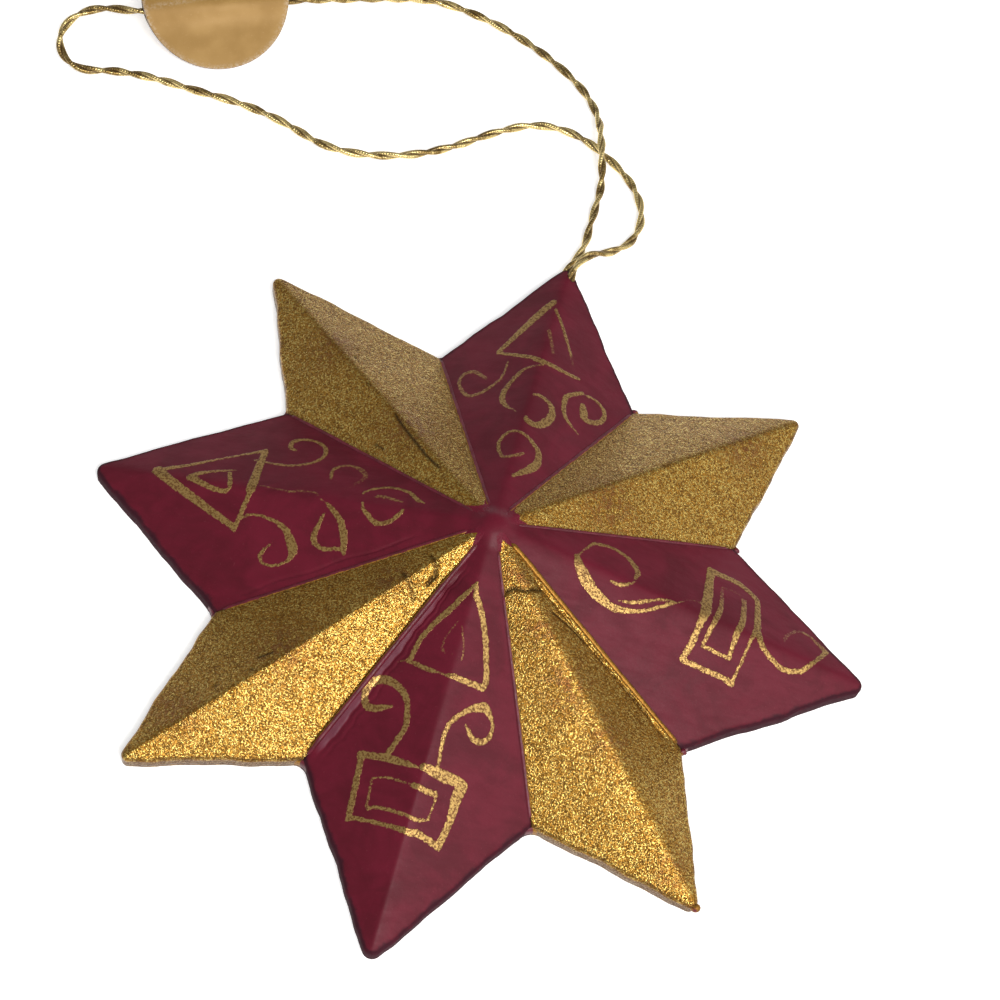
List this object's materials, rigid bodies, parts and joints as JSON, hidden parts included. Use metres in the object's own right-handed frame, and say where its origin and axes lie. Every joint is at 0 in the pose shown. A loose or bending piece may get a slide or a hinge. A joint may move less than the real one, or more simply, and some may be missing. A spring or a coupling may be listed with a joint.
{
  "type": "tin star ornament",
  "caption": "Flat-backed star ornament of folded, soldered tin sheet, its points painted in turn maroon and gold, with a looped metallic hanging cord and a small round paper label.",
  "frame": {"origin": "middle of the star's flat back, on the surface it lies on", "axes": "+Z out of the back through the raised middle of the star, +Y from the middle towards the point that carries the cord, +X to the right seen from the front"},
  "size_m": [0.1166, 0.1288, 0.015],
  "materials": {
    "maroon_paint": "satin brushed lacquer",
    "gold_paint": "grainy bronze-powder gold paint",
    "gold_thread": "two-ply twisted metallic thread",
    "gold_paper": "satin metallic paper"
  },
  "bodies": {
    "root": {"maroon_point_top": "maroon_paint", "gold_point_upper_right": "gold_paint", "maroon_point_right": "maroon_paint", "gold_point_lower_right": "gold_paint", "maroon_point_bottom": "maroon_paint", "gold_point_lower_left": "gold_paint", "maroon_point_left": "maroon_paint", "gold_point_upper_left": "gold_paint", "back_plate": "maroon_paint", "valley_solder": "maroon_paint", "notch_solder": "maroon_paint", "tip_solder": "gold_paint", "apex_solder": "maroon_paint", "hanging_cord": "gold_thread", "cord_knot": "gold_thread", "label_front": "gold_paper", "label_back": "gold_paper"}
  },
  "joints": []
}
